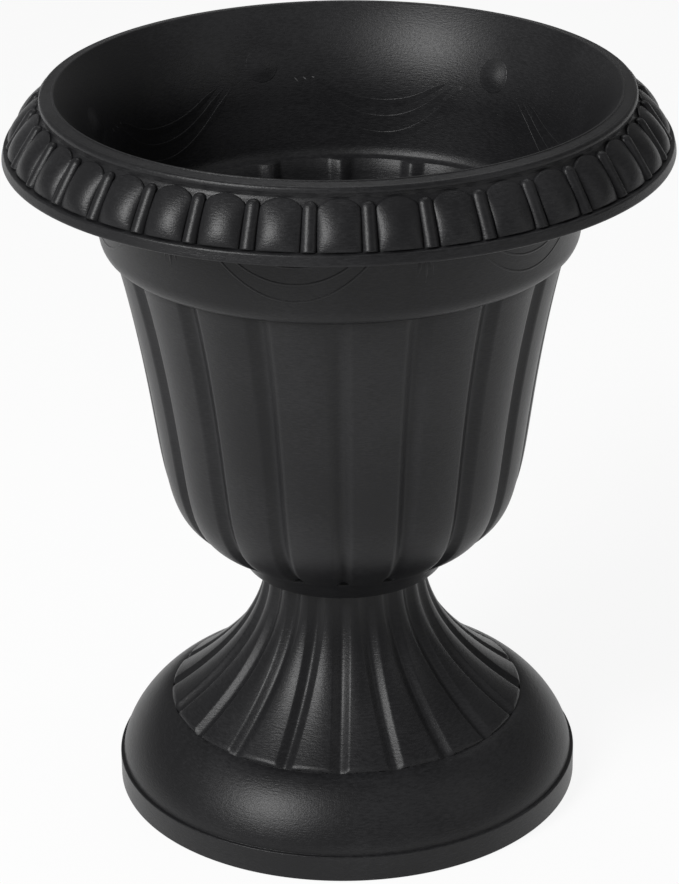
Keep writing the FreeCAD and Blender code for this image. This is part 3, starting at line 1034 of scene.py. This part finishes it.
class URN_OT_swags(bpy.types.Operator):
    """Build the faint swags and tassels on the cove and the bosses inside the mouth"""

    bl_idname = "urn.make_swags"
    bl_label = "Swags and bosses"

    def execute(self, context):
        scene = context.scene
        bowl, rim, swags = scene.urn_bowl, scene.urn_rim, scene.urn_swags
        material = plastic(scene.urn_finishes)
        lining, face = cove_points(bowl, rim, levels(bowl, rim), scene.urn_pedestal.wall)
        outer = CoveFace(face)
        inner = CoveFace(lining)
        pitch = math.tau / swags.swags
        folds = []
        bosses = []
        for index in range(swags.swags):
            middle = swags.swag_turn + index * pitch
            folds += swag_lines(outer, swags, middle, swags.fold_width, swags.fold_relief, 1)
            folds += tassel_lines(outer, swags, middle + pitch / 2, 2 * swags.fold_relief, 1)
            folds += swag_lines(inner, swags, middle, swags.inner_width, swags.inner_relief, -1)
            bosses.append(boss(inner, swags, middle + pitch / 2))
        add_piece("cove_swags", folds, material, BODY_URN)
        add_piece("mouth_bosses", bosses, material, BODY_URN)
        return {"FINISHED"}


class URN_OT_drain_plug(bpy.types.Operator):
    """Build the push-in plug of the drain hole"""

    bl_idname = "urn.make_drain_plug"
    bl_label = "Drain plug"

    def execute(self, context):
        scene = context.scene
        plug = skinned("plug", plug_rings(scene.urn_bowl), False)
        piece = add_piece("rubber_drain_plug", [plug], rubber_material(scene.urn_finishes),
                          BODY_PLUG)
        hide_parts("drain_plug")
        return {"FINISHED"}


class URN_OT_stage(bpy.types.Operator):
    """Set the floor, the world, the lamps and the camera"""

    bl_idname = "urn.make_stage"
    bl_label = "Stage"

    def execute(self, context):
        scene = context.scene
        stage = scene.urn_stage
        scene.view_settings.view_transform = "Standard"
        self.lay_floor(scene, scene.urn_finishes, stage)
        self.light_world(scene, stage)
        self.hang_lamps(scene)
        self.place_camera(scene, stage)
        return {"FINISHED"}

    def lay_floor(self, scene, finishes, stage):
        work = bmesh.new()
        bmesh.ops.create_circle(work, cap_ends=True, radius=stage.floor_radius, segments=96)
        mesh = bpy.data.meshes.new("studio_floor")
        work.to_mesh(mesh)
        work.free()
        mesh.materials.append(floor_material(finishes, stage))
        floor = bpy.data.objects.new("studio_floor", mesh)
        scene.collection.objects.link(floor)

    def light_world(self, scene, stage):
        world = bpy.data.worlds.new("studio")
        bench = Bench(world)
        light = bench.node("ShaderNodeBackground", inputs={
            "Color": (1, 1, 1, 1), "Strength": stage.world_light})
        bench.node("ShaderNodeOutputWorld", inputs={"Surface": light})
        scene.world = world

    def hang_lamps(self, scene):
        for name, (place, size, power) in LAMPS.items():
            lamp = bpy.data.lights.new("lamp_" + name, "AREA")
            lamp.shape = "RECTANGLE"
            lamp.size, lamp.size_y = size
            lamp.energy = power
            holder = bpy.data.objects.new("lamp_" + name, lamp)
            holder.location = place
            aim = Vector(LAMP_AIM) - Vector(place)
            holder.rotation_euler = aim.to_track_quat("-Z", "Y").to_euler()
            scene.collection.objects.link(holder)

    def place_camera(self, scene, stage):
        camera = bpy.data.cameras.new("photo_camera")
        camera.sensor_width = 36.0
        camera.lens = stage.camera_lens
        holder = bpy.data.objects.new("photo_camera", camera)
        turned = (Matrix.Rotation(stage.camera_yaw, 4, "Z")
                  @ Matrix.Rotation(math.pi / 2 - stage.camera_pitch, 4, "X")
                  @ Matrix.Rotation(stage.camera_roll, 4, "Z"))
        place = Matrix.Translation((0, -stage.camera_back, stage.camera_height))
        holder.matrix_world = place @ turned
        scene.collection.objects.link(holder)
        scene.camera = holder


OPERATORS = (URN_OT_pedestal, URN_OT_bowl, URN_OT_eggs_and_darts, URN_OT_swags,
             URN_OT_drain_plug, URN_OT_stage)


class URN_PT_planter(bpy.types.Panel):
    """Lists the steps that build the planter and the sizes that they use"""

    bl_idname = "URN_PT_planter"
    bl_label = "Urn Planter"
    bl_space_type = "VIEW_3D"
    bl_region_type = "UI"
    bl_category = "Urn Planter"

    def draw(self, context):
        for operator in OPERATORS:
            self.layout.operator(operator.bl_idname)
        for name, group in GROUPS.items():
            box = self.layout.box()
            box.label(text=group.__name__)
            for field in group.__annotations__:
                box.prop(getattr(context.scene, name), field)


def register():
    for name, group in GROUPS.items():
        bpy.utils.register_class(group)
        setattr(bpy.types.Scene, name, bpy.props.PointerProperty(type=group))
    for operator in OPERATORS:
        bpy.utils.register_class(operator)
    bpy.utils.register_class(URN_PT_planter)


def unregister():
    bpy.utils.unregister_class(URN_PT_planter)
    for operator in reversed(OPERATORS):
        bpy.utils.unregister_class(operator)
    for name, group in reversed(GROUPS.items()):
        delattr(bpy.types.Scene, name)
        bpy.utils.unregister_class(group)


def main():
    register()
    bpy.ops.urn.make_pedestal()
    bpy.ops.urn.make_bowl()
    bpy.ops.urn.make_eggs_and_darts()
    bpy.ops.urn.make_swags()
    bpy.ops.urn.make_drain_plug()
    bpy.ops.urn.make_stage()


if __name__ == "__main__":
    main()
